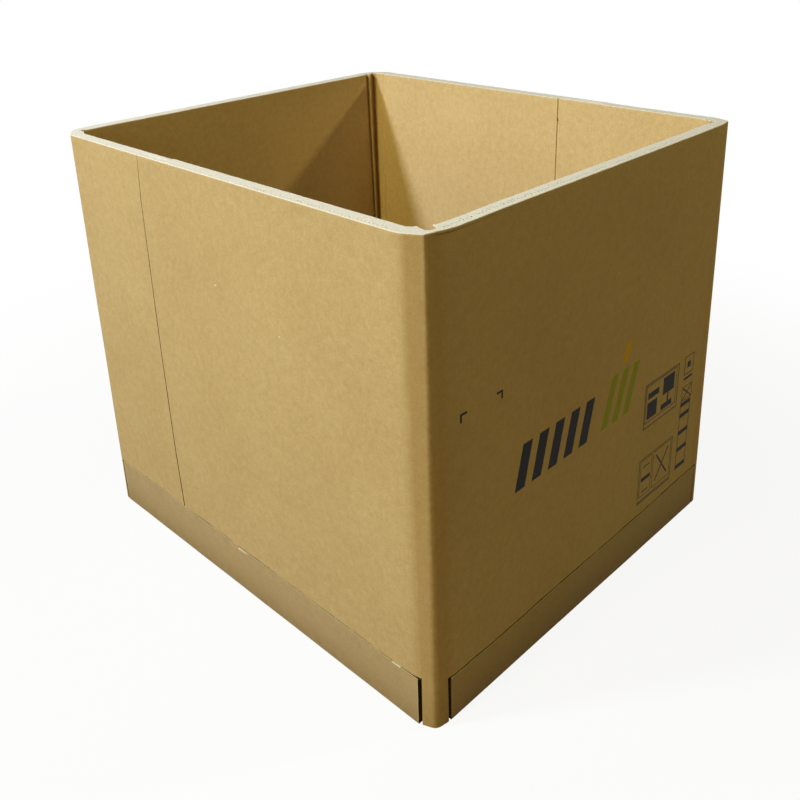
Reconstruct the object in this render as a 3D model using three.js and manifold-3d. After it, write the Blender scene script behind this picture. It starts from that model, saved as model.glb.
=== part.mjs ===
// Heavy-duty pallet box: two wrap-round sleeve halves of laminated corrugated board, standing in a bottom tray.
// Millimetres, +Z up. The origin is on the floor, below the middle of the box.
// The front wall faces -Y, the left wall -X. Each half turned by 180 degrees about Z takes the other's place.
import * as THREE from 'three';
import { mergeVertices } from 'three/addons/utils/BufferGeometryUtils.js';
import Module from 'manifold-3d';

const wasm = await Module();
wasm.setup();

// Size over the outer faces
const boxWidth = 990; // along X
const boxLength = 1120; // along Y
const boxHeight = 970;

// Board
const outerLayer = 15.5; // triple-wall board
const innerLayer = 15.5; // the same board, glued behind the outer layer
const shortArmInnerLayer = 12.5; // inner layer of the short arms, pressed flatter by the joint
const fitGap = 0.3; // between pieces that lie face to face

// Joint between the halves: the inner layer of a short arm laps behind the outer layer of the other half's long arm
const outerSeam = 320; // end of the short arm's outer layer, from the corner
const leftInnerSeam = 417; // end of the left wall's lapped inner layer, from the left rear corner
const rightInnerSeam = 453; // end of the right wall's lapped inner layer, from the right front corner
const seamGap = 2.5; // open joint between two butted layers

// Corner folds: creases on the outside, measured from where the outer faces would meet.
// The fold is tight at the floor and opens towards the rim.
const footFold = { sideCrease: 27, ridgeAcross: 15, ridgeAlong: 1.5, frontCrease: 30 };
const rimFold = { sideCrease: 47, ridgeAcross: 22, ridgeAlong: 12, frontCrease: 46 };

// Inside a corner the board gathers: a groove beside the front or back wall, a rib, a small groove, a slanted strip.
// Across is measured from the side wall's inner face, along from the front or back wall's inner face.
const foldSpread = 29; // where the gathered board ends on either wall
const mainGroove = { across: 16, along: -9 };
const grooveHeel = { across: 8, along: -3 };
const ribTip = { across: 12, along: 7 };
const ribBack = { across: 9, along: 10 };
const smallGroove = { across: 3, along: 9 };
const stripEdge = { across: 7, along: 17 };

// Bottom tray: its flaps stand in openings of the outer layer, flush with it
const bandHeight = 110; // top of the flaps
const bandGap = 2; // open line above a flap
const slotWidth = 6; // open slot at each end of a flap
const sideSlot = 34; // slot's middle, from the corner, at both ends of the left and right walls
const nearSlot = 54; // the same on the front wall at the left corner, and on the back wall at the right corner
const farSlot = 36; // the same at the other ends of the front and back walls
const flapFoldRadius = 6; // outer edge of the fold between base and flap
const foldSteps = 4;

const trayBoard = outerLayer - fitGap;
const wall = outerLayer + innerLayer;
const shortArmWall = outerLayer + shortArmInnerLayer;
const halfWidth = boxWidth / 2;
const halfLength = boxLength / 2;
const baseCornerCut = Math.min(sideSlot, nearSlot, farSlot) - slotWidth / 2 - outerLayer;
const overcut = 5; // how far a cutting body runs past the face that it opens

const kraftOutside = new THREE.MeshStandardMaterial({ color: 0xcdb07a, roughness: 0.85, metalness: 0 });
const kraftTray = new THREE.MeshStandardMaterial({ color: 0xa58f5f, roughness: 0.88, metalness: 0 });

// A closed body between two outlines with as many points each, listed counterclockwise.
function loft(lowOutline, highOutline, lowZ, highZ) {
  const count = lowOutline.length;
  const positions = [];
  for (const [x, y] of lowOutline) positions.push(x, y, lowZ);
  for (const [x, y] of highOutline) positions.push(x, y, highZ);
  const index = [];
  for (let i = 0; i < count; i++) {
    const next = (i + 1) % count;
    index.push(i, next, count + next, i, count + next, count + i);
  }
  const toVectors = (outline) => outline.map(([x, y]) => new THREE.Vector2(x, y));
  for (const [a, b, c] of THREE.ShapeUtils.triangulateShape(toVectors(lowOutline), [])) {
    index.push(a, c, b);
  }
  for (const [a, b, c] of THREE.ShapeUtils.triangulateShape(toVectors(highOutline), [])) {
    index.push(count + a, count + b, count + c);
  }
  const geometry = new THREE.BufferGeometry();
  geometry.setAttribute('position', new THREE.Float32BufferAttribute(positions, 3));
  geometry.setIndex(index);
  return geometry;
}

function toSolid(geometry) {
  const bare = geometry.clone();
  bare.deleteAttribute('normal');
  bare.deleteAttribute('uv');
  const merged = mergeVertices(bare, 1e-4);
  const mesh = new wasm.Mesh({
    numProp: 3,
    vertProperties: Float32Array.from(merged.attributes.position.array),
    triVerts: Uint32Array.from(merged.index.array),
  });
  return new wasm.Manifold(mesh);
}

function toGeometry(solid) {
  const mesh = solid.getMesh();
  const geometry = new THREE.BufferGeometry();
  geometry.setAttribute('position', new THREE.BufferAttribute(mesh.vertProperties, 3));
  geometry.setIndex(new THREE.BufferAttribute(mesh.triVerts, 1));
  geometry.computeVertexNormals();
  return geometry;
}

function block(lowX, highX, lowY, highY, lowZ, highZ) {
  const geometry = new THREE.BoxGeometry(highX - lowX, highY - lowY, highZ - lowZ);
  geometry.translate((lowX + highX) / 2, (lowY + highY) / 2, (lowZ + highZ) / 2);
  return toSolid(geometry);
}

const halfTurn = (outline) => outline.map(([x, y]) => [-x, -y]);

// Outer face of a corner, from the side wall to the front wall, as distances from the sharp corner.
function outerFold(fold) {
  return [
    [0, fold.sideCrease],
    [fold.ridgeAcross, fold.ridgeAlong],
    [fold.frontCrease, 0],
  ];
}

// Inner face of a corner, from the side wall to the front wall, as distances from the sharp corner.
function innerFold(sideWall) {
  const gathered = [stripEdge, smallGroove, ribBack, ribTip, grooveHeel, mainGroove];
  return [
    [sideWall, wall + foldSpread],
    ...gathered.map(({ across, along }) => [sideWall + across, wall + along]),
    [sideWall + foldSpread, wall],
  ];
}

const atLeftFront = ([across, along]) => [-halfWidth + across, -halfLength + along];
const atRightFront = ([across, along]) => [halfWidth - across, -halfLength + along];

// Plan of the front half at one height: front wall, long arm on the left wall, short arm on the right wall.
// tongueEnd is where its own lapped layer ends, lapEnd where the other half's does, each from its corner.
function sleeveOutline(fold, tongueEnd, lapEnd) {
  const longArmEnd = halfLength - outerSeam - seamGap;
  const longArmInnerEnd = halfLength - lapEnd - seamGap;
  const shortArmEnd = outerSeam - halfLength;
  const tongueFace = halfWidth - outerLayer - fitGap;
  return [
    [-halfWidth, longArmEnd],
    ...outerFold(fold).map(atLeftFront),
    ...outerFold(fold).map(atRightFront).reverse(),
    [halfWidth, shortArmEnd],
    [tongueFace, shortArmEnd],
    [tongueFace, tongueEnd - halfLength],
    [halfWidth - shortArmWall, tongueEnd - halfLength],
    ...innerFold(shortArmWall).map(atRightFront),
    ...innerFold(wall).map(atLeftFront).reverse(),
    [-halfWidth + wall, longArmInnerEnd],
    [-halfWidth + outerLayer, longArmInnerEnd],
    [-halfWidth + outerLayer, longArmEnd],
  ];
}

// Rectangle with cut corners that the tray's base fills, inside the outer layer.
function baseOutline(inset) {
  const x = halfWidth - outerLayer - inset;
  const y = halfLength - outerLayer - inset;
  return [
    [-x + baseCornerCut, -y],
    [x - baseCornerCut, -y],
    [x, -y + baseCornerCut],
    [x, y - baseCornerCut],
    [x - baseCornerCut, y],
    [-x + baseCornerCut, y],
    [-x, y - baseCornerCut],
    [-x, -y + baseCornerCut],
  ];
}

// Openings that the tray takes up in the sleeve: one in each wall's outer layer, and one under the inner layer.
function trayOpenings() {
  const top = bandHeight + bandGap;
  const sideEnd = halfLength - sideSlot + slotWidth / 2;
  const nearEnd = halfWidth - nearSlot + slotWidth / 2;
  const farEnd = halfWidth - farSlot + slotWidth / 2;
  const innerX = halfWidth - outerLayer;
  const innerY = halfLength - outerLayer;
  const base = baseOutline(0);
  return [
    block(-halfWidth - overcut, -innerX, -sideEnd, sideEnd, -overcut, top),
    block(innerX, halfWidth + overcut, -sideEnd, sideEnd, -overcut, top),
    block(-nearEnd, farEnd, -halfLength - overcut, -innerY, -overcut, top),
    block(-farEnd, nearEnd, innerY, halfLength + overcut, -overcut, top),
    toSolid(loft(base, base, -overcut, trayBoard + fitGap)),
  ];
}

function sleeveHalf(tongueEnd, lapEnd, place) {
  const foot = place(sleeveOutline(footFold, tongueEnd, lapEnd));
  const rim = place(sleeveOutline(rimFold, tongueEnd, lapEnd));
  let solid = toSolid(loft(foot, rim, 0, boxHeight));
  for (const opening of trayOpenings()) solid = solid.subtract(opening);
  return toGeometry(solid);
}

// One flap with the strip of base that it folds up from: x runs inwards from the outer face, y up, z along the fold.
function flapProfile() {
  const root = outerLayer + overcut;
  const shape = new THREE.Shape();
  shape.moveTo(flapFoldRadius, 0);
  shape.lineTo(root, 0);
  shape.lineTo(root, trayBoard);
  shape.lineTo(trayBoard, trayBoard);
  shape.lineTo(trayBoard, bandHeight);
  shape.lineTo(0, bandHeight);
  shape.lineTo(0, flapFoldRadius);
  shape.absarc(flapFoldRadius, flapFoldRadius, flapFoldRadius, Math.PI, 1.5 * Math.PI, false);
  return shape;
}

// A flap on the left wall between two places along Y, turned about Z to the wall it belongs to.
function flap(lowEnd, highEnd, turn, wallOffset) {
  const geometry = new THREE.ExtrudeGeometry(flapProfile(), {
    depth: highEnd - lowEnd,
    bevelEnabled: false,
    curveSegments: foldSteps,
  });
  geometry.rotateX(Math.PI / 2);
  geometry.translate(-wallOffset, highEnd, 0);
  geometry.rotateZ(turn);
  return toSolid(geometry);
}

function bottomTray() {
  const sideEnd = halfLength - sideSlot - slotWidth / 2;
  const nearEnd = halfWidth - nearSlot - slotWidth / 2;
  const farEnd = halfWidth - farSlot - slotWidth / 2;
  const quarter = Math.PI / 2;
  const base = baseOutline(fitGap);
  let solid = toSolid(loft(base, base, 0, trayBoard));
  solid = solid.add(flap(-sideEnd, sideEnd, 0, halfWidth));
  solid = solid.add(flap(-farEnd, nearEnd, quarter, halfLength));
  solid = solid.add(flap(-sideEnd, sideEnd, 2 * quarter, halfWidth));
  solid = solid.add(flap(-farEnd, nearEnd, 3 * quarter, halfLength));
  return toGeometry(solid);
}

function piece(name, geometry, material) {
  const mesh = new THREE.Mesh(geometry, material);
  mesh.name = name;
  return mesh;
}

const asDrawn = (outline) => outline;
const box = new THREE.Group();
box.add(piece('sleeve_half_front', sleeveHalf(rightInnerSeam, leftInnerSeam, asDrawn), kraftOutside));
box.add(piece('sleeve_half_rear', sleeveHalf(leftInnerSeam, rightInnerSeam, halfTurn), kraftOutside));
box.add(piece('bottom_tray', bottomTray(), kraftTray));

export default box;
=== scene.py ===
import math

import bpy
import bmesh
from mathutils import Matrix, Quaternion, Vector, noise


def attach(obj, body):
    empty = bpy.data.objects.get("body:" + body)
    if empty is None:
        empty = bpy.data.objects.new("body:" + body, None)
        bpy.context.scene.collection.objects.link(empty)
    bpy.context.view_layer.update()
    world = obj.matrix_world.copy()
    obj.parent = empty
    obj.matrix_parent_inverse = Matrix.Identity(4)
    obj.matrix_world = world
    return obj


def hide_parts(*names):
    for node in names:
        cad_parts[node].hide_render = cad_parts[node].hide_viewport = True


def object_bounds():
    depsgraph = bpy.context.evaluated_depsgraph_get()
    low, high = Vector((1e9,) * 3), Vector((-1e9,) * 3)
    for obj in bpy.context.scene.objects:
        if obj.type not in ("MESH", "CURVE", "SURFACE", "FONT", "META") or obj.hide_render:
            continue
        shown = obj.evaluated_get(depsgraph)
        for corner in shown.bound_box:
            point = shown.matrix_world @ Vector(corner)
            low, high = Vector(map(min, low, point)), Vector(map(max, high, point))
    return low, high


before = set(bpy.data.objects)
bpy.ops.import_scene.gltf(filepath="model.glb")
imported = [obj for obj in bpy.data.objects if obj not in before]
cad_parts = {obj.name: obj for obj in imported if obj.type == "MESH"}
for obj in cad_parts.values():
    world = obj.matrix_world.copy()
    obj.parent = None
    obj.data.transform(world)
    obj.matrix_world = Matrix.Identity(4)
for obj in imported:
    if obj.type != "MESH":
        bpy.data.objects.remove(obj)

cadBox = [list(corner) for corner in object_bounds()]
mm = 0.001
halfWidth = cadBox[1][0] / mm
halfLength = cadBox[1][1] / mm
boxHeight = cadBox[1][2] / mm
turns = {"front": 1, "rear": -1}  # the rear half is the front half turned by 180 degrees


# Small helpers. Lengths are in mm until a mesh is made.

def linearColour(hexText):
    channels = [int(hexText[i:i + 2], 16) / 255 for i in (1, 3, 5)]
    lifted = [c / 12.92 if c <= 0.04045 else ((c + 0.055) / 1.055) ** 2.4 for c in channels]
    return (*lifted, 1.0)


def addNode(tree, kind, settings=None, inputs=None):
    node = tree.nodes.new(kind)
    for name, value in (settings or {}).items():
        setattr(node, name, value)
    for socket, value in (inputs or {}).items():
        if isinstance(value, bpy.types.NodeSocket):
            tree.links.new(value, node.inputs[socket])
        else:
            node.inputs[socket].default_value = value
    return node


def addObject(name, mesh, used=()):
    for material in used:
        mesh.materials.append(material)
    piece = bpy.data.objects.new(name, mesh)
    bpy.context.scene.collection.objects.link(piece)
    return piece


def finishPiece(piece, slot, *stoodFor):
    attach(piece, "root")
    if stoodFor:
        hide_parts(*stoodFor)
    print(piece.name, len(piece.data.polygons), "faces")


def between(pair, share):
    return pair[0] + (pair[1] - pair[0]) * share


def smoothStep(low, high, value):
    share = min(1.0, max(0.0, (value - low) / (high - low)))
    return share * share * (3 - 2 * share)


def lookUp(table, value):
    for (a, low), (b, high) in zip(table, table[1:]):
        if value <= b:
            return low + (high - low) * min(1.0, max(0.0, (value - a) / (b - a)))
    return table[-1][1]


def ripple(x, y, z, size):
    return noise.noise(Vector((x, y, z)) / size)


def makeMesh(name, verts, faces, slots=None):
    mesh = bpy.data.meshes.new(name)
    mesh.from_pydata([(x * mm, y * mm, z * mm) for x, y, z in verts], [], faces)
    if slots:
        mesh.polygons.foreach_set("material_index", slots)
    return mesh


def plainMesh(piece):
    graph = bpy.context.evaluated_depsgraph_get()
    mesh = bpy.data.meshes.new_from_object(piece.evaluated_get(graph))
    piece.modifiers.clear()
    old = piece.data
    piece.data = mesh
    bpy.data.meshes.remove(old)
    return piece


def applyBoolean(piece, other, operation):
    step = piece.modifiers.new("join", "BOOLEAN")
    step.operation = operation
    step.solver = "EXACT"
    step.material_mode = "TRANSFER"
    step.object = other
    plainMesh(piece)
    bpy.data.objects.remove(other)


def turnFacesOut(mesh):
    bm = bmesh.new()
    bm.from_mesh(mesh)
    bmesh.ops.recalc_face_normals(bm, faces=bm.faces)
    bm.to_mesh(mesh)
    bm.free()


def shadeSmooth(mesh, sharpAngle):
    bm = bmesh.new()
    bm.from_mesh(mesh)
    for face in bm.faces:
        face.smooth = True
    for edge in bm.edges:
        edge.smooth = edge.calc_face_angle(0) < math.radians(sharpAngle)
    bm.to_mesh(mesh)
    bm.free()


# Camera

view = {
    "place": (-1.3904, -1.4043, 1.4151),  # metres
    "heading": 45.371,  # degrees from +X towards +Y
    "pitch": 22.576,  # degrees below the horizon
    "roll": -1.812,  # degrees
    "sensor": 36,  # mm
    "focal": 40.973,  # mm
    "shift": (0.0053, -0.144),  # share of the picture
    "nearest": 0.01,  # metres
}


def addCamera():
    camera = bpy.data.objects.new("camera", bpy.data.cameras.new("camera"))
    bpy.context.scene.collection.objects.link(camera)
    heading, pitch = math.radians(view["heading"]), math.radians(view["pitch"])
    flat = math.cos(pitch)
    ahead = Vector((math.cos(heading) * flat, math.sin(heading) * flat, -math.sin(pitch)))
    camera.location = view["place"]
    camera.rotation_mode = "QUATERNION"
    roll = Quaternion((0, 0, 1), math.radians(view["roll"]))
    camera.rotation_quaternion = ahead.to_track_quat("-Z", "Y") @ roll
    camera.data.sensor_width = view["sensor"]
    camera.data.lens = view["focal"]
    camera.data.shift_x, camera.data.shift_y = view["shift"]
    camera.data.clip_start = view["nearest"]
    bpy.context.scene.camera = camera


# Light, floor and background, in metres and watts

studio = {
    "window": {"place": (-4.01, 2.03, 4.69), "size": 0.7, "power": 262, "colour": (0.76, 0.86, 1.0)},
    "ceiling": {"place": (-4.5, 0.1, 4.0), "size": 0.9, "power": 108, "colour": (1.0, 0.92, 0.36)},
    "left": {"place": (-5.5, -1.5, 2.2), "size": 2.0, "power": 40, "colour": (1.0, 0.82, 0.4)},
    "side": {"place": (7, -5, 6), "size": 0.9, "power": 275, "colour": (1.0, 0.88, 0.36)},
    "aim": (0, 0, 0.5),
    "sky": (1.0, 0.84, 0.4),
    "skyStrength": 0.01,
    "backdrop": 1.0,
    "floorWhite": 0.9,  # share of plain white in the floor as the camera sees it, beside the box
    "shadowReach": (0.9, 2.2),  # distance from the box's middle over which the floor turns plain white
    "floorMatt": (0.9, 0.9, 0.9, 1),  # the part of the floor that takes the shadow
    "floorBounce": "#8C7650",  # the floor as the box sees it
    "floorSize": 60,
    "floorDrop": 0.0005,
}


def addLamp(name):
    part = studio[name]
    lamp = bpy.data.lights.new(name, "AREA")
    lamp.shape = "DISK"
    lamp.size = part["size"]
    lamp.energy = part["power"]
    lamp.color = part["colour"]
    holder = bpy.data.objects.new(name, lamp)
    bpy.context.scene.collection.objects.link(holder)
    holder.location = part["place"]
    aim = Vector(studio["aim"]) - Vector(part["place"])
    holder.rotation_mode = "QUATERNION"
    holder.rotation_quaternion = aim.to_track_quat("-Z", "Y")


def seenDirectly(tree):
    path = addNode(tree, "ShaderNodeLightPath")
    glossy = addNode(tree, "ShaderNodeMath", {"operation": "MAXIMUM"},
                     {0: path.outputs["Is Camera Ray"], 1: path.outputs["Is Glossy Ray"]})
    clear = addNode(tree, "ShaderNodeMath", {"operation": "MAXIMUM"},
                    {0: glossy.outputs[0], 1: path.outputs["Is Transmission Ray"]})
    return clear.outputs[0]


def addStudio():
    for name in ("window", "ceiling", "left", "side"):
        addLamp(name)
    world = bpy.data.worlds.new("studio")
    bpy.context.scene.world = world
    world.use_nodes = True
    tree = world.node_tree
    tree.nodes.clear()
    sky = addNode(tree, "ShaderNodeBackground", None,
                  {"Color": (*studio["sky"], 1), "Strength": studio["skyStrength"]})
    shown = addNode(tree, "ShaderNodeBackground", None,
                    {"Color": (1, 1, 1, 1), "Strength": studio["backdrop"]})
    mixed = addNode(tree, "ShaderNodeMixShader", None,
                    {0: seenDirectly(tree), 1: sky.outputs[0], 2: shown.outputs[0]})
    addNode(tree, "ShaderNodeOutputWorld", None, {"Surface": mixed.outputs[0]})

    # The camera sees a white floor with the box's shadow.
    # The box gets the dim warm light of a workshop floor.
    material = bpy.data.materials.new("studio_floor")
    material.use_nodes = True
    tree = material.node_tree
    tree.nodes.clear()
    bounce = addNode(tree, "ShaderNodeBsdfDiffuse", None, {"Color": linearColour(studio["floorBounce"])})
    matt = addNode(tree, "ShaderNodeBsdfDiffuse", None, {"Color": studio["floorMatt"]})
    place = addNode(tree, "ShaderNodeTexCoord").outputs["Object"]
    away = addNode(tree, "ShaderNodeVectorMath", {"operation": "LENGTH"}, {0: place}).outputs["Value"]
    near, far = studio["shadowReach"]
    share = spread(tree, away, near, far, studio["floorWhite"], 1)
    white = addNode(tree, "ShaderNodeEmission", None, {"Color": (1, 1, 1, 1), "Strength": 1.0})
    shown = addNode(tree, "ShaderNodeMixShader", None,
                    {0: share, 1: matt.outputs[0], 2: white.outputs[0]})
    mixed = addNode(tree, "ShaderNodeMixShader", None,
                    {0: seenDirectly(tree), 1: bounce.outputs[0], 2: shown.outputs[0]})
    addNode(tree, "ShaderNodeOutputMaterial", None, {"Surface": mixed.outputs[0]})
    mesh = bpy.data.meshes.new("floor")
    reach = studio["floorSize"] / 2
    corners = [(-reach, -reach, 0), (reach, -reach, 0), (reach, reach, 0), (-reach, reach, 0)]
    mesh.from_pydata(corners, [], [(0, 1, 2, 3)])
    floor = addObject("floor", mesh, [material])
    floor.location.z = -studio["floorDrop"]


# Materials

def noiseField(tree, place, featureSize, detail=3.0, roughness=0.55):
    values = {"Vector": place, "Scale": 1 / (featureSize * mm), "Detail": detail, "Roughness": roughness}
    node = addNode(tree, "ShaderNodeTexNoise", {"noise_dimensions": "3D"}, values)
    return node.outputs["Fac"]


def spread(tree, value, low, high, toLow=0.0, toHigh=1.0):
    node = addNode(tree, "ShaderNodeMapRange", {"clamp": True},
                   {"Value": value, "From Min": low, "From Max": high, "To Min": toLow, "To Max": toHigh})
    return node.outputs["Result"]


def blend(tree, share, first, second, mode="MIX"):
    node = addNode(tree, "ShaderNodeMix", {"data_type": "RGBA", "blend_type": mode},
                   {"Factor": share, 6: first, 7: second})
    return node.outputs[2]


def combine(tree, operation, first, second):
    return addNode(tree, "ShaderNodeMath", {"operation": operation}, {0: first, 1: second}).outputs[0]


def darken(tree, colour, shade):
    grey = addNode(tree, "ShaderNodeCombineColor", None, {0: shade, 1: shade, 2: shade})
    return blend(tree, 1.0, colour, grey.outputs[0], "MULTIPLY")


matt = {"ior": 1.5, "specular": 0.1}  # paper catches little light, even at a slant


def startMaterial(name):
    material = bpy.data.materials.new(name)
    material.use_nodes = True
    tree = material.node_tree
    shader = tree.nodes["Principled BSDF"]
    shader.inputs["IOR"].default_value = matt["ior"]
    shader.inputs["Specular IOR Level"].default_value = matt["specular"]
    place = addNode(tree, "ShaderNodeTexCoord").outputs["Object"]
    return material, tree, shader, place


def addBump(tree, shader, height, strength, distance):
    values = {"Strength": strength, "Distance": distance * mm, "Height": height}
    bump = addNode(tree, "ShaderNodeBump", None, values)
    tree.links.new(bump.outputs[0], shader.inputs["Normal"])


kraftLook = {
    "light": "#D2B98C",
    "dark": "#C4A87B",
    # paler liner along a fold's ridge: wear, and partly a painted highlight where the ridge catches the light
    "wearAndHighlight": "#DCC8A2",
    # darker brown towards the foot of the walls
    "darkFoot": "#96794A",
    "flutePitch": 8.9,  # A-flute
    "blotch": 240,  # uneven furnish of the liner
    "cloud": 14,  # fibre clouds
    "fleck": 3.6,  # fibre bundles, drawn coarser than real ones so that they show
    "fleckShade": (0.9, 1.08),
    "fluteShade": (0.992, 1.004),
    "wearAndHighlightReach": 9,  # from a fold's ridge
    "wearAndHighlightShare": 0.4,
    "fold": "#BC9452",  # painted shade: darker, yellower liner beside a fold's ridge, where the facets turn away from the light
    "foldReach": (26, 44),
    "foldShadeShare": 0.3,
    "insideShadeAndLight": (0.89, 1.32),  # painted shade on the inner faces of the front and back walls, and painted light on the arms' inner faces
    "darkFootReach": 100,  # above the floor
    "darkFootShare": 0.5,
    "roughness": (0.8, 0.92),
}


# Kraft linerboard, machine-made paper: matt and brown with fine flecks, a trace of the flutes behind it,
# paler along a fold's ridge from wear and partly a painted highlight, painted shade beside the folds and on
# the inner faces of the front and back walls, painted light on the arms' inner faces, and darker towards the
# foot.
def kraftLiner(name, look, mapped=True):
    material, tree, shader, place = startMaterial(name)
    blotch = noiseField(tree, place, look["blotch"], 2)
    cloud = noiseField(tree, place, look["cloud"], 4)
    fleck = noiseField(tree, place, look["fleck"], 3, 0.7)
    broad = combine(tree, "MULTIPLY", blotch, 0.35)
    fine = combine(tree, "MULTIPLY", cloud, 0.65)
    shade = spread(tree, combine(tree, "ADD", broad, fine), 0.3, 0.7)
    colour = blend(tree, shade, linearColour(look["dark"]), linearColour(look["light"]))
    colour = darken(tree, colour, spread(tree, fleck, 0.32, 0.68, *look["fleckShade"]))
    height = combine(tree, "MULTIPLY", fleck, 0.3)
    if mapped:
        sheet = addNode(tree, "ShaderNodeUVMap", {"uv_map": "sheet"}).outputs[0]
        along = addNode(tree, "ShaderNodeSeparateXYZ", None, {0: sheet}).outputs[0]
        phase = combine(tree, "MULTIPLY", along, 2 * math.pi / (look["flutePitch"] * mm))
        flutes = addNode(tree, "ShaderNodeMath", {"operation": "SINE"}, {0: phase}).outputs[0]
        colour = darken(tree, colour, spread(tree, flutes, -1, 1, *look["fluteShade"]))
        height = combine(tree, "ADD", height, combine(tree, "MULTIPLY", flutes, 0.05))
        folds = addNode(tree, "ShaderNodeUVMap", {"uv_map": "folds"}).outputs[0]
        parts = addNode(tree, "ShaderNodeSeparateXYZ", None, {0: folds}).outputs
        away = parts[0]
        # painted shade and light: the inner faces of the front and back walls darker, the arms' inner faces
        # paler
        wallShade, armLight = look["insideShadeAndLight"]
        colour = darken(tree, colour, spread(tree, parts[1], -1, 0, wallShade, 1))
        colour = darken(tree, colour, spread(tree, parts[1], 0, 1, 1, armLight))
        # painted shade beside a fold's ridge: the colour is blended towards the darker fold colour
        near, far = look["foldReach"]
        foldShade = spread(tree, away, near * mm, far * mm, look["foldShadeShare"], 0)
        colour = blend(tree, foldShade, colour, linearColour(look["fold"]))
        # paler along a fold's ridge: wear, and partly a painted highlight
        wearAndHighlightMask = spread(tree, away, 0, look["wearAndHighlightReach"] * mm, look["wearAndHighlightShare"], 0)
        wearAndHighlightMask = combine(tree, "MULTIPLY", wearAndHighlightMask, spread(tree, cloud, 0.35, 0.65))
        colour = blend(tree, wearAndHighlightMask, colour, linearColour(look["wearAndHighlight"]))
    up = addNode(tree, "ShaderNodeSeparateXYZ", None, {0: place}).outputs[2]
    # darker towards the foot: the colour is blended towards a darker brown over the lowest part of the wall
    darkerLow = spread(tree, up, 0, look["darkFootReach"] * mm, look["darkFootShare"], 0)
    darkerLow = combine(tree, "MULTIPLY", darkerLow, spread(tree, cloud, 0.35, 0.65, 0.3, 1))
    colour = blend(tree, darkerLow, colour, linearColour(look["darkFoot"]))
    tree.links.new(colour, shader.inputs["Base Color"])
    tree.links.new(spread(tree, cloud, 0.3, 0.7, *look["roughness"]), shader.inputs["Roughness"])
    addBump(tree, shader, height, 0.2, 0.5)
    return material


# Cut or torn board: open fibres of liner and flutes, rough and without the glaze of the paper's face.
def cutBoard(name, pale, shade, speckSize):
    material, tree, shader, place = startMaterial(name)
    speck = noiseField(tree, place, speckSize, 4, 0.65)
    colour = blend(tree, spread(tree, speck, 0.35, 0.6), linearColour(shade), linearColour(pale))
    tree.links.new(colour, shader.inputs["Base Color"])
    shader.inputs["Roughness"].default_value = 0.95
    addBump(tree, shader, speck, 0.4, 0.7)
    return material


# Flexographic water-based ink: thin and matt, with the paper's clouds showing through a little.
def printInk(name, full, faded):
    material, tree, shader, place = startMaterial(name)
    cloud = noiseField(tree, place, 5, 3)
    colour = blend(tree, spread(tree, cloud, 0.45, 0.8, 0, 0.4), linearColour(full), linearColour(faded))
    tree.links.new(colour, shader.inputs["Base Color"])
    shader.inputs["Roughness"].default_value = 0.7
    return material


# Sleeve halves, drawn in plan as the front half: front wall, long arm on the left wall and short arm on the
# right wall. A pair of values holds the one at the foot and the one at the rim.

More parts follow.
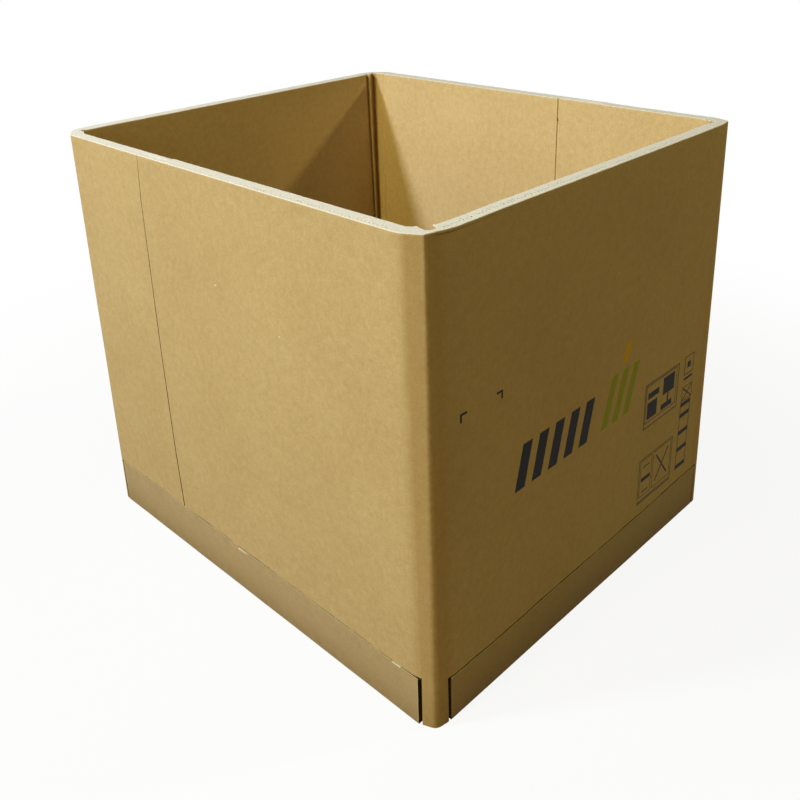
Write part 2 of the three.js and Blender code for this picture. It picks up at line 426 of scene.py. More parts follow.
sleeve = {
    "outerLayer": 15.5,
    "innerLayer": 15.5,
    "shortArmInnerLayer": 12.5,
    "fitGap": 0.3,
    # end of the short arm's outer layer from the corner, by share of the height
    "outerSeam": [(0, 321), (0.12, 320.5), (0.28, 315), (0.54, 314), (0.9, 320), (1, 329)],
    "innerSeam": {"front": 451, "rear": 417},  # end of each half's own lapped inner layer
    "seamGap": (3.4, 1.5),
    "closedGap": 0.7,  # the seam is pressed shut at the rim
    "closedFrom": 0.94,  # share of the height
    "innerGap": 0.3,
    # side crease, ridge across and along, and front crease, from where the outer faces would meet: for each
    # half, at its long arm and at its short arm
    "fold": {
        "front": ([(42, 40), (14.5, 20), (6, 4.5), (50, 46)], [(28, 40), (6, 15), (2, 4.5), (24, 46)]),
        "rear": ([(27, 47), (15, 22), (1.5, 12), (30, 46)], [(26, 45), (15, 22), (1.5, 12), (30, 46)]),
    },
    # how far the roundings of crease, ridge and crease reach on either side
    "foldReach": [[(18, 15), (13, 12)], [(12, 4.5), (11, 5)], [(12, 18), (25, 25)]],
    "foldSteps": (12, 8, 8),
    # how far the printed wall leans in at the rim along X, and the short arm beside it along Y
    "wallLean": [(-495, 16.5), (-450, 14.5), (-410, 10), (300, 10), (430, 11), (495, 14)],
    "armLean": [(-560, 0), (-500, 3), (-430, 4.5), (-300, 4), (-238, 3), (-226, 0)],
    "leanFade": (-500, -130),  # the wall's lean dies away between these places along Y
    # gathered board inside the corners: across from the side wall's inner face, along from the front wall's
    "gathers": {
        "front": [(0, 21), (5, 14), (12, 11), (8, 2), (5, -14), (11, -18), (22, -18), (29, -9), (31, 0)],
        "rear": [(0, 29), (1.8, 26), (0.8, 21), (2.8, 15), (3.2, 3), (5, -8), (9, -9), (19, -3), (21, 2.5),
                 (27, 2.5), (29, -9), (35, -9), (39, 0)],
        "short": [(0, 29), (7, 17), (3, 9), (9, 10), (12, 7), (8, -3), (16, -9), (29, 0)],
    },
    "gatherAtFoot": 0.5,
    "gatherReach": (1.0, 2.0),
    "spacing": 15,
    "levels": 30,
    "linerPush": (0.35, 0.9),  # how far the faces lie inside the flat, least and most
    "pushWave": 260,
    "scoreDepth": 0.35,  # fine upright score lines in the folds
    "scoreWave": 5.5,
    "scoreReach": (38, 62),  # the score lines fade out between these distances from a corner
    # the front wall's rim is pressed down: depth, and places along X where that starts, is full and ends
    "sag": (1.0, -450, -420, -380, -320),
    "sagFade": 120,  # height below the rim over which the sag dies away
    # crushed lip of that rim: how far it stands out, its height, and the fade below it
    "lip": (2.4, 4.8, 24),
    "lipRun": (-462, -440, -400, -290),
    "lipDrop": (2.2, -384, 18),  # the lip hangs lower here: depth, X, half width
    "lipHem": 3,  # height of the part that hangs
    "lipSkin": 12,  # the lip is made from this depth of the wall
    "damageDepth": 38,  # rim damage goes no deeper into the wall
    "lipLevels": (26, 12, 4, 0.9, 0),  # rows of points close under the lip
    "rimRound": [(1.2, 0), (0.5, 0.25), (0, 0.8)],  # rounding of the sawn edge: below the rim, and inwards
    "gatherRound": 0.4,  # its largest value on the gathered board
    "gatherPush": 0.2,
    "saw": (0.35, 23),  # how uneven the sawn rim is, and the size of its waves
    "insideDepth": 24,  # a point as deep as this in the wall faces the inside
    "sharpAngle": 38,  # edges over this angle are shaded sharp
}

tray = {
    "board": 15.2,
    "bandGap": 2.2,
    "slot": 6,
    "sideSlot": 36,
    "nearSlot": 47,
    "farSlot": 29,
    "bandLines": {  # height of the flaps' tops along each wall
        "left": [(-530, 111), (-460, 109.5), (-190, 112), (170, 115), (490, 117)],
        "front": [(-450, 102.5), (-300, 101), (-140, 104.5), (45, 105), (250, 108.5), (440, 113)],
        "right": [(-530, 110), (530, 110)],
        "back": [(-460, 110), (460, 110)],
    },
    "topWave": (0.5, 60),  # how uneven the flaps' tops are, and the size of the waves
    "pinch": (1.1, 28),  # how much the gap above a flap varies, and the size of the waves
    "openingSteps": 64,
    "overcut": 5,  # how far a cutting body runs past the face that it opens
    "baseClear": 1.5,  # between the base's cut corners and the openings' ends
    "flapSteps": 90,
    "flapRoot": 5.5,  # how far a flap's foot reaches into the base
    "flapPush": (0.3, 0.35, 120),  # how far its face lies inside the flat: least, more, and size of the waves
    "cutEndAndHighlight": 1.6,  # width of the pale strip at a flap's end: its cut edge, partly a painted highlight
    "grooveDepth": 7,
    "linerEdge": 1.3,
    "foldHeight": 2.2,
    "sharpAngle": 30,
}

wallThickness = sleeve["outerLayer"] + sleeve["innerLayer"]
shortArmThickness = sleeve["outerLayer"] + sleeve["shortArmInnerLayer"]


# Corners of the plan at one height: x and y, how far the rounding reaches before and after, its steps,
# and what the face that starts there is.
def planCorners(half, share):
    x, y = halfWidth, halfLength
    other = "rear" if half == "front" else "front"
    seam = lookUp(sleeve["outerSeam"], share)
    apart = between(sleeve["seamGap"], share)
    gap = between((apart, sleeve["closedGap"]), smoothStep(sleeve["closedFrom"], 1, share))

    def outer(fold):
        sideCrease, across, beside, frontCrease = (between(pair, share) for pair in fold)
        spots = [(0, sideCrease), (across, beside), (frontCrease, 0)]
        return [(a, b, between(before, share), between(after, share), steps)
                for (a, b), (before, after), steps in zip(spots, sleeve["foldReach"], sleeve["foldSteps"])]

    size = between((sleeve["gatherAtFoot"], 1), share)
    small = between(sleeve["gatherReach"], share)

    def inner(side, kind):
        reach = [(a * size, b * size) for a, b in sleeve["gathers"][kind]]
        return [(side + a, wallThickness + b, small, small, 2) for a, b in reach]

    def left(points):
        return [(-x + a, -y + b, before, after, steps, "liner") for a, b, before, after, steps in points]

    def right(points):
        return [(x - a, -y + b, after, before, steps, "liner") for a, b, before, after, steps in points]

    def gathered(points):
        return [(*point[:5], "gather") for point in points[:-1]] + points[-1:]

    def sharp(a, b, kind):
        return (a, b, 0, 0, 0, kind)

    tongue = sleeve["innerSeam"][half] - y
    tongueFace = x - sleeve["outerLayer"] - sleeve["fitGap"]
    lap = y - sleeve["innerSeam"][other] - sleeve["innerGap"]
    corners = [sharp(-x, y - seam - gap, "liner")]
    longFold, shortFold = sleeve["fold"][half]
    corners += left(outer(longFold)) + right(outer(shortFold))[::-1]
    corners += [sharp(x, seam - y, "cut"), sharp(tongueFace, seam - y, "hidden")]
    corners += [sharp(tongueFace, tongue, "cut"), sharp(x - shortArmThickness, tongue, "liner")]
    corners += gathered(right(inner(shortArmThickness, "short")))
    corners += gathered(left(inner(wallThickness, half))[::-1])
    corners += [sharp(-x + wallThickness, lap, "edge"), sharp(-x + sleeve["outerLayer"], lap, "hidden")]
    corners += [sharp(-x + sleeve["outerLayer"], y - seam - gap, "cut")]
    return corners


# The plan as a ring of points with its corners rounded and its straights divided.
def ringFrom(corners, counts=None):
    ring, made, arcs = [], [], []
    amount = len(corners)
    for i, (x, y, before, after, steps, kind) in enumerate(corners):
        here = Vector((x, y))
        if steps == 0:
            arcs.append([here])
            continue
        back = Vector(corners[i - 1][:2]) - here
        ahead = Vector(corners[(i + 1) % amount][:2]) - here
        start = here + back.normalized() * min(before, 0.45 * back.length)
        end = here + ahead.normalized() * min(after, 0.45 * ahead.length)
        arc = []
        for k in range(steps + 1):
            t = k / steps
            arc.append(start * (1 - t) ** 2 + here * 2 * t * (1 - t) + end * t * t)
        arcs.append(arc)
    for i, arc in enumerate(arcs):
        kind = corners[i][5]
        ring += [(point, kind) for point in arc]
        following = arcs[(i + 1) % amount][0]
        spaces = max(1, math.ceil((following - arc[-1]).length / sleeve["spacing"]))
        pieces = counts[i] if counts else spaces if kind == "liner" else 1
        made.append(pieces)
        for k in range(1, pieces):
            ring.append((arc[-1].lerp(following, k / pieces), kind))
    return ring, made


def ringNormals(points):
    normals = []
    amount = len(points)
    for i, here in enumerate(points):
        before = here - points[i - 1]
        after = points[(i + 1) % amount] - here
        first = Vector((before.y, -before.x)).normalized()
        second = Vector((after.y, -after.x)).normalized()
        middle = first + second
        if middle.length < 0.2:
            middle = first
        middle.normalize()
        normals.append(middle / max(0.6, middle.dot(first)))
    return normals


def linerPush(x, y, z):
    return between(sleeve["linerPush"], ripple(x, y, z, sleeve["pushWave"]) * 0.5 + 0.5)


# The printed wall leans in towards the rim, and draws the short arm beside it along.
def lean(half, x, y, z):
    if half != "front":
        return Vector((0, 0))
    share = z / boxHeight
    inwards = lookUp(sleeve["wallLean"], x) * (1 - smoothStep(*sleeve["leanFade"], y))
    aside = lookUp(sleeve["armLean"], y) if x > 0 else 0
    return Vector((-aside, inwards)) * share


def runShare(run, x):
    return smoothStep(run[0], run[1], x) * (1 - smoothStep(run[2], run[3], x))


# What handling has done to the front wall's rim: how far a point moves in and down.
def rimDamage(half, x, y, z):
    if half != "front" or y > -halfLength + sleeve["damageDepth"]:
        return 0, 0
    depth = sleeve["sag"][0] * runShare(sleeve["sag"][1:], x)
    down = depth * smoothStep(boxHeight - sleeve["sagFade"], boxHeight, z)
    stand, lipHeight, fade = sleeve["lip"]
    hang, middle, width = sleeve["lipDrop"]
    lipFoot = boxHeight - lipHeight
    if lipFoot - sleeve["lipHem"] < z < lipFoot:
        down += hang * math.exp(-((x - middle) / width) ** 2)
    inwards = 0
    if y < -halfLength + sleeve["lipSkin"] and z < lipFoot:
        inwards = stand * runShare(sleeve["lipRun"], x) * smoothStep(lipFoot - fade, lipFoot, z)
    return inwards, down


def sleeveMesh(half):
    ring, counts = ringFrom(planCorners(half, 1))
    amount = len(ring)
    kinds = [kind for _, kind in ring]
    lipFoot = boxHeight - sleeve["lip"][1]
    farthest, *nearer = sleeve["lipLevels"]
    heights = [(lipFoot - farthest) * k / sleeve["levels"] for k in range(sleeve["levels"] + 1)]
    heights += [lipFoot - below for below in nearer]
    rings = [(h, 0) for h in heights]
    rings += [(boxHeight - below, inwards) for below, inwards in sleeve["rimRound"]]
    rimFoot = rings[len(heights)][0]
    sawDepth, sawWave = sleeve["saw"]
    ridge = sleeve["fold"][half][0][1:3]
    turn = turns[half]
    verts, aways, along = [], [], [0.0]
    for h, inset in rings:
        share = h / boxHeight
        points = [p for p, _ in ringFrom(planCorners(half, share), counts)[0]]
        normals = ringNormals(points)
        ridgeSpot = Vector((halfWidth - between(ridge[0], share), halfLength - between(ridge[1], share)))
        for i, (flat, normal) in enumerate(zip(points, normals)):
            inwards = inset
            if kinds[i] == "gather":
                inwards = min(inset, sleeve["gatherRound"]) + sleeve["gatherPush"]
            if kinds[i] == "liner" and kinds[i - 1] == "liner":
                inwards += linerPush(flat.x * turn, flat.y * turn, h)
                reach = max(halfWidth - abs(flat.x), halfLength - abs(flat.y))
                score = sleeve["scoreDepth"] * (1 - smoothStep(*sleeve["scoreReach"], reach))
                inwards += score * (ripple(flat.x, flat.y, h / 60, sleeve["scoreWave"]) * 0.8 + 0.5)
            extra, down = rimDamage(half, flat.x, flat.y, h)
            z = h - down
            if h > rimFoot:
                z -= sawDepth * (ripple(flat.x, flat.y, 31 * turn, sawWave) + 0.7)
            spot = flat - normal * (inwards + extra) + lean(half, flat.x, flat.y, h)
            verts.append((spot.x * turn, spot.y * turn, z))
            corner = Vector((abs(flat.x), abs(flat.y)))
            deepX, deepY = halfWidth - corner.x, halfLength - corner.y
            outside = min(deepX, deepY) < sleeve["insideDepth"]
            inside = 0 if outside else 1 if deepX < deepY else -1
            aways.append(((corner - ridgeSpot).length * mm, inside))
    for i in range(amount):
        along.append(along[-1] + (ring[(i + 1) % amount][0] - ring[i][0]).length)
    faces, slots, sheets, folds = [], [], [], []
    for k in range(len(rings) - 1):
        for i in range(amount):
            j = (i + 1) % amount
            corners = (k * amount + i, k * amount + j, (k + 1) * amount + j, (k + 1) * amount + i)
            faces.append(corners)
            edge = k >= len(heights)
            # the seams' cut faces take the nearly black material: painted shade in the seams
            slots.append(1 if edge or kinds[i] == "edge" else 2 if kinds[i] == "cut" else 0)
            u, w = along[i] * mm, along[i + 1] * mm
            low, high = rings[k][0] * mm, rings[k + 1][0] * mm
            sheets.append([(u, low), (w, low), (w, high), (u, high)])
            folds.append([aways[c] for c in corners])
    last = (len(rings) - 1) * amount
    for cap, slot in ((range(amount - 1, -1, -1), 2), (range(last, last + amount), 1)):
        faces.append(tuple(cap))
        slots.append(slot)
        sheets.append([(0, 0)] * amount)
        folds.append([(1, 0)] * amount)
    mesh = makeMesh("sleeve_" + half, verts, faces, slots)
    for name, rows in (("sheet", sheets), ("folds", folds)):
        layer = mesh.uv_layers.new(name=name)
        layer.data.foreach_set("uv", [c for row in rows for corner in row for c in corner])
    bm = bmesh.new()
    bm.from_mesh(mesh)
    bmesh.ops.triangulate(bm, faces=[face for face in bm.faces if len(face.verts) > 4])
    bm.to_mesh(mesh)
    bm.free()
    return mesh


def addCutter(name, verts, faces, material):
    mesh = makeMesh(name, verts, faces)
    turnFacesOut(mesh)
    for layer in ("sheet", "folds"):
        mesh.uv_layers.new(name=layer)
    return addObject(name, mesh, [material])


# Where a wall's flap runs: the wall's axis and side, start and end of its opening.
def flapRuns():
    half = tray["slot"] / 2
    side = halfLength - tray["sideSlot"] + half
    near, far = halfWidth - tray["nearSlot"] + half, halfWidth - tray["farSlot"] + half
    return {"left": ("x", -1, -side, side), "right": ("x", 1, -side, side),
            "front": ("y", -1, -near, far), "back": ("y", 1, -far, near)}


def onWall(axis, sign, depth, along, z):
    if axis == "x":
        return (sign * (halfWidth - depth), along, z)
    return (along, sign * (halfLength - depth), z)


def bandTop(wall, along):
    stray, wave = tray["topWave"]
    return lookUp(tray["bandLines"][wall], along) + stray * ripple(along, 7 * len(wall), 0, wave)


# The tray's openings in the outer layer: one on each wall, with a slightly uneven top.
def openingCutter():
    verts, faces = [], []
    steps, over, layer = tray["openingSteps"], tray["overcut"], sleeve["outerLayer"]
    pinch, wave = tray["pinch"]
    for wall, (axis, sign, start, end) in flapRuns().items():
        base = len(verts)
        for k in range(steps + 1):
            at = start + (end - start) * k / steps
            top = bandTop(wall, at) + tray["bandGap"] + pinch * ripple(at, 3 * len(wall), 9, wave)
            for depth, z in ((-over, -over), (layer, -over), (layer, top), (-over, top)):
                verts.append(onWall(axis, sign, depth, at, z))
        for k in range(steps):
            for c in range(4):
                a, b = base + 4 * k + c, base + 4 * k + (c + 1) % 4
                faces.append((a, b, b + 4, a + 4))
        faces += [tuple(base + c for c in range(4)), tuple(base + 4 * steps + c for c in (3, 2, 1, 0))]
    # the cut faces take the nearly black material: painted shade in the gap above each flap
    return addCutter("tray_openings", verts, faces, materials["hollowPaintedShade"])


# The base reaches into the openings, so its corners are cut off inside their ends.
def basePlan(inset):
    layer = sleeve["outerLayer"]
    x, y = halfWidth - layer - inset, halfLength - layer - inset
    more = tray["baseClear"]
    side, near, far = (tray[name] - tray["slot"] / 2 - layer + more
                       for name in ("sideSlot", "nearSlot", "farSlot"))
    return [(-x + near, -y), (x - far, -y), (x, -y + side), (x, y - side),
            (x - near, y), (-x + far, y), (-x, y - side), (-x, -y + side)]


def prism(plan, low, high):
    amount = len(plan)
    verts = [(a, b, z) for z in (low, high) for a, b in plan]
    faces = [(i, (i + 1) % amount, amount + (i + 1) % amount, amount + i) for i in range(amount)]
    return verts, faces + [tuple(range(amount - 1, -1, -1)), tuple(range(amount, 2 * amount))]


# Flute mouths: where the sawn rim isn't crushed shut, the flutes stand open in rows along the wall.
# A row: place from the outer face, from and to along the wall, width of the mouths, share that is open.

mouths = {
    "pitch": 8.9,
    "length": 6.4,
    "depth": 13,  # of the cutting bodies, which stand above the rim by the next value
    "above": 3,
    "stray": 0.5,
    "seeds": {"front": 11, "rear": 57},
    "frontWall": [(11.6, -428, 34, 4.2, 0.95), (11.6, 45, 300, 3.2, 0.85), (11.6, 310, 440, 1.6, 0.6),
                  (18.6, -420, -120, 1.7, 0.45), (24.5, -150, 400, 1.3, 0.2)],
    "longArm": [(8.2, -490, -120, 4.2, 0.9), (8.2, -110, 220, 3.0, 0.7), (14, -480, 130, 1.8, 0.35)],
    "shortArm": [(8.5, -495, -260, 1.8, 0.6), (14.5, -490, -250, 1.2, 0.3)],
}


def mouthTree():
    tree = bpy.data.node_groups.new("fluteMouths", "GeometryNodeTree")
    face = tree.interface
    face.new_socket("Geometry", in_out="INPUT", socket_type="NodeSocketGeometry")
    for name in ("Pitch", "Length", "Width", "Depth", "Turn", "Stray", "Open"):
        face.new_socket(name, in_out="INPUT", socket_type="NodeSocketFloat")
    face.new_socket("Seed", in_out="INPUT", socket_type="NodeSocketInt")
    face.new_socket("Material", in_out="INPUT", socket_type="NodeSocketMaterial")
    face.new_socket("Geometry", in_out="OUTPUT", socket_type="NodeSocketGeometry")
    given = addNode(tree, "NodeGroupInput").outputs
    path = addNode(tree, "GeometryNodeMeshToCurve", None, {"Mesh": given["Geometry"]})
    even = addNode(tree, "GeometryNodeResampleCurve", {"mode": "LENGTH"},
                   {"Curve": path.outputs[0], "Length": given["Pitch"]})
    spots = addNode(tree, "GeometryNodeCurveToPoints", {"mode": "EVALUATED"}, {"Curve": even.outputs[0]})
    uneven = addNode(tree, "FunctionNodeRandomValue", {"data_type": "FLOAT_VECTOR"},
                     {"Min": (-1, -1, 0), "Max": (1, 1, 0), "Seed": given["Seed"]})
    moved = addNode(tree, "ShaderNodeVectorMath", {"operation": "SCALE"},
                    {0: uneven.outputs[0], "Scale": given["Stray"]})
    strayed = addNode(tree, "GeometryNodeSetPosition", None,
                      {"Geometry": spots.outputs[0], "Offset": moved.outputs[0]})
    kept = addNode(tree, "FunctionNodeRandomValue", {"data_type": "BOOLEAN"},
                   {"Probability": given["Open"], "Seed": given["Seed"]})
    shape = addNode(tree, "FunctionNodeRandomValue", {"data_type": "FLOAT_VECTOR"},
                    {"Min": (0.75, 0.65, 1), "Max": (1.08, 1.15, 1), "Seed": given["Seed"]})
    full = addNode(tree, "ShaderNodeCombineXYZ", None,
                   {0: given["Length"], 1: given["Width"], 2: given["Depth"]})
    size = addNode(tree, "ShaderNodeVectorMath", {"operation": "MULTIPLY"},
                   {0: shape.outputs[0], 1: full.outputs[0]})
    heading = addNode(tree, "ShaderNodeCombineXYZ", None, {2: given["Turn"]})
    mouth = addNode(tree, "GeometryNodeMeshCylinder", None, {"Vertices": 6, "Radius": 0.5, "Depth": 1.0})
    values = {"Points": strayed.outputs[0], "Selection": kept.outputs[3], "Instance": mouth.outputs[0],
              "Rotation": heading.outputs[0], "Scale": size.outputs[0]}
    copies = addNode(tree, "GeometryNodeInstanceOnPoints", None, values)
    real = addNode(tree, "GeometryNodeRealizeInstances", None, {0: copies.outputs[0]})
    painted = addNode(tree, "GeometryNodeSetMaterial", None,
                      {"Geometry": real.outputs[0], "Material": given["Material"]})
    addNode(tree, "NodeGroupOutput", None, {0: painted.outputs[0]})
    return tree


def mouthCutter(half):
    tree = bpy.data.node_groups.get("fluteMouths") or mouthTree()
    walls = {"frontWall": ("y", -1), "longArm": ("x", -1), "shortArm": ("x", 1)}
    bm = bmesh.new()
    seed = mouths["seeds"][half]
    for wall, (axis, sign) in walls.items():
        for place, start, end, width, share in mouths[wall]:
            seed += 1
            level = boxHeight - mouths["depth"] / 2 + mouths["above"]
            path = [Vector(onWall(axis, sign, place, at, level)) for at in (start, end)]
            path = [p + lean(half, p.x, p.y, boxHeight).to_3d() for p in path]
            turn = turns[half]
            mesh = bpy.data.meshes.new("row")
            mesh.from_pydata([(p.x * turn * mm, p.y * turn * mm, p.z * mm) for p in path], [(0, 1)], [])
            row = addObject("row", mesh)
            grown = row.modifiers.new("mouths", "NODES")
            grown.node_group = tree
            # the mouths take the nearly black material: painted shade deep in the flutes
            values = {"Width": width * mm, "Turn": math.pi / 2 if axis == "x" else 0.0, "Open": share,
                      "Seed": seed, "Material": materials["hollowPaintedShade"]}
            for name in ("pitch", "length", "depth", "stray"):
                values[name.capitalize()] = mouths[name] * mm
            for socket in tree.interface.items_tree:
                if socket.in_out == "INPUT" and socket.name in values:
                    grown[socket.identifier] = values[socket.name]
            plainMesh(row)
            bm.from_mesh(row.data)
            bpy.data.objects.remove(row)
    mesh = bpy.data.meshes.new("flute_mouths")
    bmesh.ops.recalc_face_normals(bm, faces=bm.faces)
    bm.to_mesh(mesh)
    bm.free()
    for layer in ("sheet", "folds"):
        if layer not in mesh.uv_layers:
            mesh.uv_layers.new(name=layer)
    return addObject("flute_mouths", mesh, [materials["hollowPaintedShade"]])


def addSleeve(half):
    used = [materials[name] for name in ("kraft", "sawn", "hollowPaintedShade")]
    piece = addObject("board_half_" + half, sleeveMesh(half), used)
    applyBoolean(piece, openingCutter(), "DIFFERENCE")
    verts, faces = prism(basePlan(-1), -tray["overcut"], sleeve["outerLayer"])
    applyBoolean(piece, addCutter("tray_base_space", verts, faces, materials["hollowPaintedShade"]), "DIFFERENCE")
    applyBoolean(piece, mouthCutter(half), "DIFFERENCE")
    shadeSmooth(piece.data, sleeve["sharpAngle"])
    finishPiece(piece, "kraft_board", "sleeve_half_" + half)


# Tray: a base with four flaps. Along a flap's top the liners' pale edges stand up beside the crushed flutes.
def flapMesh(wall, run):
    axis, sign, start, end = run
    start, end = start + tray["slot"], end - tray["slot"]
    board, groove, edge, fold = (tray[name] for name in ("board", "grooveDepth", "linerEdge", "foldHeight"))
    root, steps, cut = board + tray["flapRoot"], tray["flapSteps"], tray["cutEndAndHighlight"]
    least, more, wave = tray["flapPush"]
    middle = [start + (end - start) * k / steps for k in range(1, steps)]
    marks = [start, start + cut, *middle, end - cut, end]
    verts, faces, slots = [], [], []
    for at in marks:
        top = bandTop(wall, at)
        push = least + more * (ripple(at, 5 * len(wall), 2, wave) + 0.6)
        outline = [(root, 0.02), (push + fold, 0.02), (push + fold * 0.3, fold * 0.25), (push, fold),
                   (push, top * 0.5), (push, top - 0.6), (push + 0.4, top), (push + edge, top - 0.3),
                   (push + edge + 0.3, top - groove), (board - 2.2, top - groove), (board - 1.7, top - 0.6),
                   (board - 0.3, top - 0.6), (board - 0.3, board - 0.05), (root, board - 0.05)]
        verts += [onWall(axis, sign, depth, at, z) for depth, z in outline]
    amount = len(outline)
    parts = {5: 1, 6: 1, 7: 2, 8: 2, 9: 2, 10: 1}  # sides of the outline that are cut edge, or the groove of crushed flutes drawn nearly black as painted shade
    for k in range(len(marks) - 1):
        end = k in (0, len(marks) - 2)
        for c in range(amount):
            a, b = amount * k + c, amount * k + (c + 1) % amount
            faces.append((a, b, b + amount, a + amount))
            # a pale strip on each flap's end: the cut edge, partly a painted highlight
            slots.append(1 if end and c in (3, 4) else parts.get(c, 0))
    last = amount * (len(marks) - 1)
    faces += [tuple(range(amount)), tuple(last + c for c in range(amount - 1, -1, -1))]
    # the flaps' end faces, seen through the slots, take the nearly black material: painted shade
    slots += [2, 2]
    mesh = makeMesh("flap_" + wall, verts, faces, slots)
    turnFacesOut(mesh)
    return mesh


def addTray():
    used = [materials[name] for name in ("tray", "trayEdge", "hollowPaintedShade")]
    verts, faces = prism(basePlan(0.3), 0, tray["board"])
    mesh = makeMesh("base", verts, faces)
    turnFacesOut(mesh)
    piece = addObject("board_tray", mesh, used)
    for wall, run in flapRuns().items():
        applyBoolean(piece, addObject("flap", flapMesh(wall, run), used), "UNION")
    shadeSmooth(piece.data, tray["sharpAngle"])
    finishPiece(piece, "tray_board", "bottom_tray")


# Print on the front wall: plain slanted stripes, corner marks, frames and bars. Places along X and up Z.

artwork = {
    "raise": 0.13,  # top of the ink above the liner
    "sink": 0.06,  # its underside below the liner
    "cell": 16,
    "marks": {"places": [(-411, 643, 1), (-299, 644, -1)], "leg": 17, "line": 4.2},
    "stripes": {"first": -262, "step": 51, "count": 5, "width": 29, "foot": 411, "top": 505, "lean": 24},
    "green": {"first": 22, "step": 41, "count": 3, "width": 21, "foot": 413, "top": 524, "lean": 36},
    "yellow": {"first": 92, "step": 1, "count": 1, "width": 21, "foot": 540, "top": 584, "lean": 14},
    "frames": [((195, 335, 340, 446), 2.4), ((200, 348, 331, 441), 1.6), ((192, 144, 338, 257), 1.8),
               ((198, 155, 247, 252), 1.4), ((253, 155, 332, 252), 1.4), ((366, 402, 408, 449), 2.0),
               ((364, 334, 411, 371), 1.8)],
    "blocks": [(207, 356, 248, 397), (208, 406, 254, 421), (272, 391, 321, 434), (267, 354, 314, 368),
               (292, 368, 298, 391), (203, 195, 242, 205), (192, 139, 338, 142), (379, 418, 394, 433),
               (367, 389, 405, 395), (362, 148, 364, 334), (406, 148, 408, 334)],
    "bars": {"left": 364, "right": 406, "heights": (319, 290, 244, 198, 150), "height": 11},
    "strokes": [((266, 169), (319, 239), 4), ((266, 239), (319, 169), 4), ((368, 337), (407, 368), 3),
                ((368, 368), (407, 337), 3), ((208, 167), (236, 167), 3), ((208, 233), (236, 233), 3)],
}


def inkRectangle(quads, x0, z0, x1, z1):
    quads.append([(x0, z0), (x1, z0), (x1, z1), (x0, z1)])


def inkFrame(quads, box, line):
    x0, z0, x1, z1 = box
    inkRectangle(quads, x0, z0, x1, z0 + line)
    inkRectangle(quads, x0, z1 - line, x1, z1)
    inkRectangle(quads, x0, z0 + line, x0 + line, z1 - line)
    inkRectangle(quads, x1 - line, z0 + line, x1, z1 - line)


def inkStroke(quads, start, end, width):
    a, b = Vector(start), Vector(end)
    side = (b - a).normalized()
    side = Vector((-side.y, side.x)) * width / 2
    quads.append([tuple(a - side), tuple(b - side), tuple(b + side), tuple(a + side)])


def stripeQuads(part):
    quads = []
    for k in range(part["count"]):
        x, width, lean = part["first"] + k * part["step"], part["width"], part["lean"]
        quads.append([(x, part["foot"]), (x + width, part["foot"]), (x + width + lean, part["top"]),
                      (x + lean, part["top"])])
    return quads


def blackQuads():
    quads = stripeQuads(artwork["stripes"])
    marks = artwork["marks"]
    for x, z, way in marks["places"]:
        leg, line = marks["leg"], marks["line"]
        inkRectangle(quads, min(x, x + way * leg), z - line, max(x, x + way * leg), z)
        inkRectangle(quads, min(x, x + way * line), z - leg, max(x, x + way * line), z - line)
    for box, line in artwork["frames"]:
        inkFrame(quads, box, line)
    for box in artwork["blocks"]:
        inkRectangle(quads, *box)
    bars = artwork["bars"]
    for foot in bars["heights"]:
        inkRectangle(quads, bars["left"], foot, bars["right"], foot + bars["height"])
    for start, end, width in artwork["strokes"]:
        inkStroke(quads, start, end, width)
    return quads


def frontFace(x, z):
    return -halfLength + linerPush(x, -halfLength, z) + lean("front", x, -halfLength, z).y


# A thin closed film between a lower and an upper skin, each a grid of points.
def filmPatch(bm, lower, upper):
    rows, columns = len(lower), len(lower[0])
    low, high = ([[bm.verts.new([c * mm for c in spot]) for spot in row] for row in skin]
                 for skin in (lower, upper))
    for r in range(rows - 1):
        for c in range(columns - 1):
            bm.faces.new((high[r][c], high[r][c + 1], high[r + 1][c + 1], high[r + 1][c]))
            bm.faces.new((low[r][c], low[r + 1][c], low[r + 1][c + 1], low[r][c + 1]))
    around = [(0, c) for c in range(columns)] + [(r, columns - 1) for r in range(1, rows)]
    around += [(rows - 1, c) for c in range(columns - 2, -1, -1)] + [(r, 0) for r in range(rows - 2, 0, -1)]
    for (r, c), (s, d) in zip(around, around[1:] + around[:1]):
        bm.faces.new((low[r][c], low[s][d], high[s][d], high[r][c]))


def addPrint(name, quads, material):
    bm = bmesh.new()
    for quad in quads:
        a, b, c, d = (Vector(corner) for corner in quad)
        columns = max(1, math.ceil((b - a).length / artwork["cell"]))
        rows = max(1, math.ceil((d - a).length / artwork["cell"]))
        skins = []
        for lift in (-artwork["sink"], artwork["raise"]):
            skin = []
            for r in range(rows + 1):
                left, right = a.lerp(d, r / rows), b.lerp(c, r / rows)
                line = [left.lerp(right, k / columns) for k in range(columns + 1)]
                skin.append([(p.x, frontFace(p.x, p.y) - lift, p.y) for p in line])
            skins.append(skin)
        filmPatch(bm, *skins)
    bmesh.ops.recalc_face_normals(bm, faces=bm.faces)
    mesh = bpy.data.meshes.new(name)
    bm.to_mesh(mesh)
    bm.free()
    finishPiece(addObject(name, mesh, [material]), "kraft_board")


# Torn paper: on the left wall a bridge left in the cut above the flap, pale torn liner beside it and near the
# front corner, and small flecks; on the right wall's inner face a nick at the inner seam.
# Outlines have four corners, along Y and up Z. Depths are below the liner's face, inner then outer.

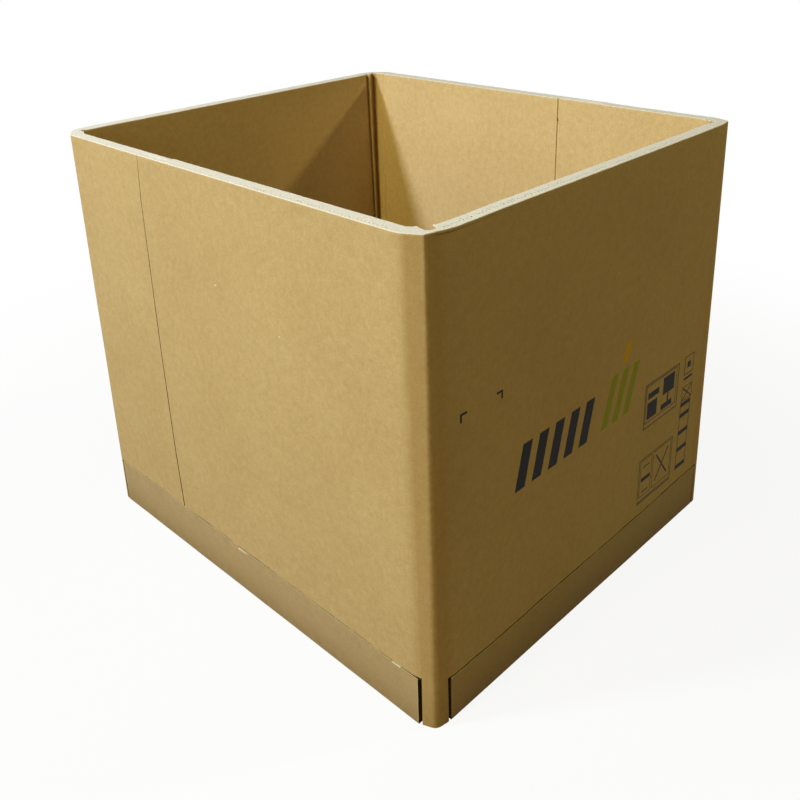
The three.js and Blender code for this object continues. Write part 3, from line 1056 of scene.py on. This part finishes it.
torn = {
    "step": 4,
    "ragged": (0.6, 5),  # how far a torn edge strays, and the size of its waves
    "torn_liner": {"depths": (0.9, -0.25), "finish": "paper", "outlines": [
        [(27, 106.5), (26, 110.8), (-3, 110.6), (-5, 107.8)],
        [(-455, 106.6), (-455, 109.6), (-478, 111), (-476, 107)],
    ]},
    "pale_flecks": {"depths": (0.05, -0.15), "finish": "paper", "outlines": [
        [(-3, 747), (-3, 750), (2, 750.5), (2.5, 748)],
        [(-194, 698), (-194, 701), (-190, 701), (-190, 699)],
    ]},
    "uncut_bridge": {"depths": (6, 0.02), "finish": "kraftPlain", "outlines": [
        [(45, 104), (30, 104), (30, 118), (45, 118)],
    ]},
    "seam_nick": {"depths": (0.3, -0.12), "finish": "nick", "outlines": [
        [(-111.5, 914), (-110, 921), (-107.8, 921), (-108.5, 914)],
    ]},
}


def tornPatch(bm, outline, plane, depths):
    a, b, c, d = (Vector(corner) for corner in outline)
    columns = max(1, math.ceil((d - a).length / torn["step"]))
    stray, wave = torn["ragged"]
    skins = []
    for depth in depths:
        skin = []
        for r in range(2):
            row = []
            for k in range(columns + 1):
                spot = (a if r == 0 else b).lerp(d if r == 0 else c, k / columns)
                ragged = stray * ripple(spot.x, spot.y, 4 * r, wave) if 0 < k < columns else 0
                push = linerPush(plane, spot.x, spot.y)
                row.append((plane + push + depth, spot.x, spot.y + ragged))
            skin.append(row)
        skins.append(skin)
    filmPatch(bm, *skins)


def addTorn(name, plane):
    part = torn[name]
    bm = bmesh.new()
    for outline in part["outlines"]:
        tornPatch(bm, outline, plane, part["depths"])
    bmesh.ops.recalc_face_normals(bm, faces=bm.faces)
    mesh = bpy.data.meshes.new(name)
    bm.to_mesh(mesh)
    bm.free()
    finishPiece(addObject(name, mesh, [materials[part["finish"]]]), "kraft_board")


bpy.context.scene.view_settings.view_transform = "Standard"
addCamera()
addStudio()
print("camera, lamps and floor made")
# the tray's colours: greyer than kraft's, and darker as painted shade on the flaps
trayLook = dict(kraftLook, light="#C2AB88", dark="#B49C78", darkFoot="#93794D", cloud=20)
materials = {
    # kraft linerboard of the sleeve: warm brown, matt, with the flutes' trace
    "kraft": kraftLiner("kraft_liner", kraftLook),
    # the same liner on small scraps, which show no flutes
    "kraftPlain": kraftLiner("kraft_liner_scraps", kraftLook, mapped=False),
    # recycled liner of the tray: greyer and cloudier than kraft, and darker, which is painted shade on the
    # flaps low by the floor
    "tray": kraftLiner("greyer_tray_liner_with_painted_shade", trayLook, mapped=False),
    # sawn corrugated board: the rim's fibres catch the light and look almost white
    "sawn": cutBoard("sawn_rim", "#FAF5F1", "#EAE1D9", 3.0),
    # knife-cut corrugated board: a pale line along the flaps' liners
    "trayEdge": cutBoard("cut_tray_edge", "#D2C29C", "#BFAC82", 3.0),
    # brown flute paper deep in flutes, slots and seams, drawn nearly black: painted shade
    "hollowPaintedShade": cutBoard("flutes_slots_and_seams_painted_shade", "#5E4A2A", "#3E2F18", 4.0),
    # torn liner: its unglazed inner fibres look pale
    "paper": cutBoard("torn_paper", "#F4EBD8", "#E3D3B4", 2.5),
    # torn flute paper: darker and browner than the liner
    "nick": cutBoard("torn_flute_paper", "#A07A48", "#7E5C34", 2.0),
    # water-based inks, flexo printed: flat and matt
    "black": printInk("black_ink", "#141210", "#2A241A"),
    "green": printInk("green_ink", "#98A02C", "#A3A04A"),
    "yellow": printInk("yellow_ink", "#DDAE26", "#CFAE50"),
}
print(len(materials), "materials made")
for half in turns:
    addSleeve(half)
addTray()
addPrint("printed_marks", blackQuads(), materials["black"])
addPrint("printed_stripes_green", stripeQuads(artwork["green"]), materials["green"])
addPrint("printed_stripe_yellow", stripeQuads(artwork["yellow"]), materials["yellow"])
for name in ("torn_liner", "pale_flecks", "uncut_bridge"):
    addTorn(name, -halfWidth)
addTorn("seam_nick", halfWidth - wallThickness)
print("all pieces made")
